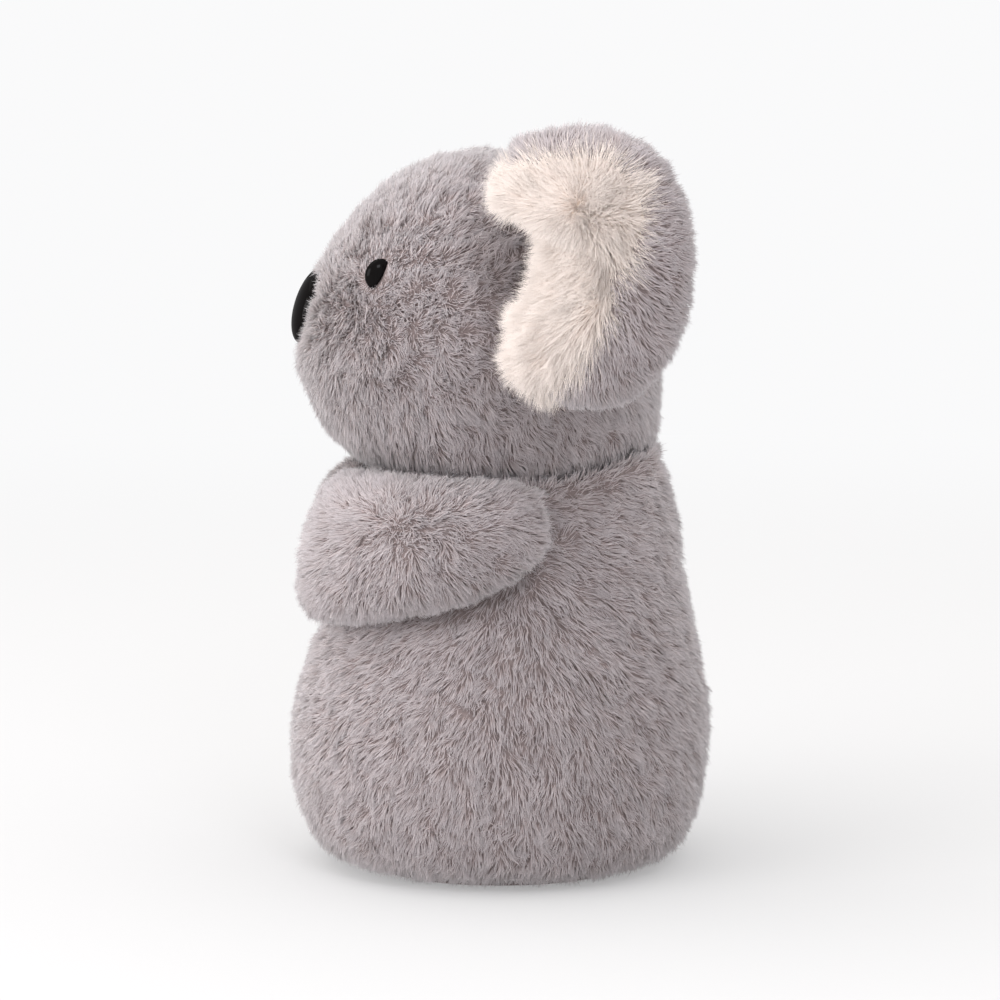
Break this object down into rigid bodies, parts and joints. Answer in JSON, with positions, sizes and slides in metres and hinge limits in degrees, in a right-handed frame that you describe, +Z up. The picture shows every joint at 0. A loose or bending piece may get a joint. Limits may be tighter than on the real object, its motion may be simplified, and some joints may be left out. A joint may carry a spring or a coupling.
{
  "type": "plush koala",
  "caption": "Sitting plush koala with fur skins over filling, round ears, arms folded round the chest and snap-in glossy eyes and nose.",
  "frame": {"origin": "on the table, in the middle of the base panel's flat underside", "axes": "+Z up, -Y the way the koala faces, +X its left side"},
  "size_m": [0.2316, 0.135, 0.2327],
  "materials": {
    "grey_fur": "dense soft pile about 10 mm long, warm mauve grey, brushed in tufts",
    "cream_fur": "longer, finer cream pile on the ears' faces",
    "white_filling": "loose polyester fibre, hidden",
    "bag_cloth": "plain woven bag round plastic pellets, hidden",
    "black_plastic": "polished black dome, very glossy",
    "washer_plastic": "plain moulded lock washer, hidden"
  },
  "bodies": {
    "torso": {"body_skin": "grey_fur", "base_panel": "grey_fur", "pellet_bag": "bag_cloth", "body_filling": "white_filling"},
    "head": {"head_skin": "grey_fur", "head_filling": "white_filling", "nose": "black_plastic", "nose_washer": "washer_plastic", "eye_left": "black_plastic", "eye_washer_left": "washer_plastic", "eye_right": "black_plastic", "eye_washer_right": "washer_plastic"},
    "ear_left": {"ear_back_left": "grey_fur", "ear_front_left": "cream_fur", "ear_filling_left": "white_filling"},
    "arm_left": {"arm_skin_left": "grey_fur", "arm_filling_left": "white_filling"},
    "ear_right": {"ear_back_right": "grey_fur", "ear_front_right": "cream_fur", "ear_filling_right": "white_filling"},
    "arm_right": {"arm_skin_right": "grey_fur", "arm_filling_right": "white_filling"}
  },
  "joints": [
    {"name": "neck_turn", "type": "hinge", "parent": "torso", "child": "head", "pos_m": [0, 0, 0.12835], "axis": [0, 0, 1], "range_deg": [-15, 15], "stiffness_Nm_per_rad": 0.08},
    {"name": "ear_fold_left", "type": "hinge", "parent": "head", "child": "ear_left", "pos_m": [0.06494, 0.01163, 0.19427], "axis": [0.0713, 0.0765, 0.9945], "range_deg": [-8, 8], "stiffness_Nm_per_rad": 0.02},
    {"name": "arm_swing_left", "type": "hinge", "parent": "torso", "child": "arm_left", "pos_m": [0.05725, 0.01227, 0.104], "axis": [0, 0, 1], "range_deg": [0, 40], "stiffness_Nm_per_rad": 0.02},
    {"name": "ear_fold_right", "type": "hinge", "parent": "head", "child": "ear_right", "pos_m": [-0.06494, 0.01163, 0.19427], "axis": [0.0713, -0.0765, -0.9945], "range_deg": [-8, 8], "stiffness_Nm_per_rad": 0.02},
    {"name": "arm_swing_right", "type": "hinge", "parent": "torso", "child": "arm_right", "pos_m": [-0.05725, 0.01227, 0.104], "axis": [0, 0, -1], "range_deg": [0, 40], "stiffness_Nm_per_rad": 0.02}
  ]
}
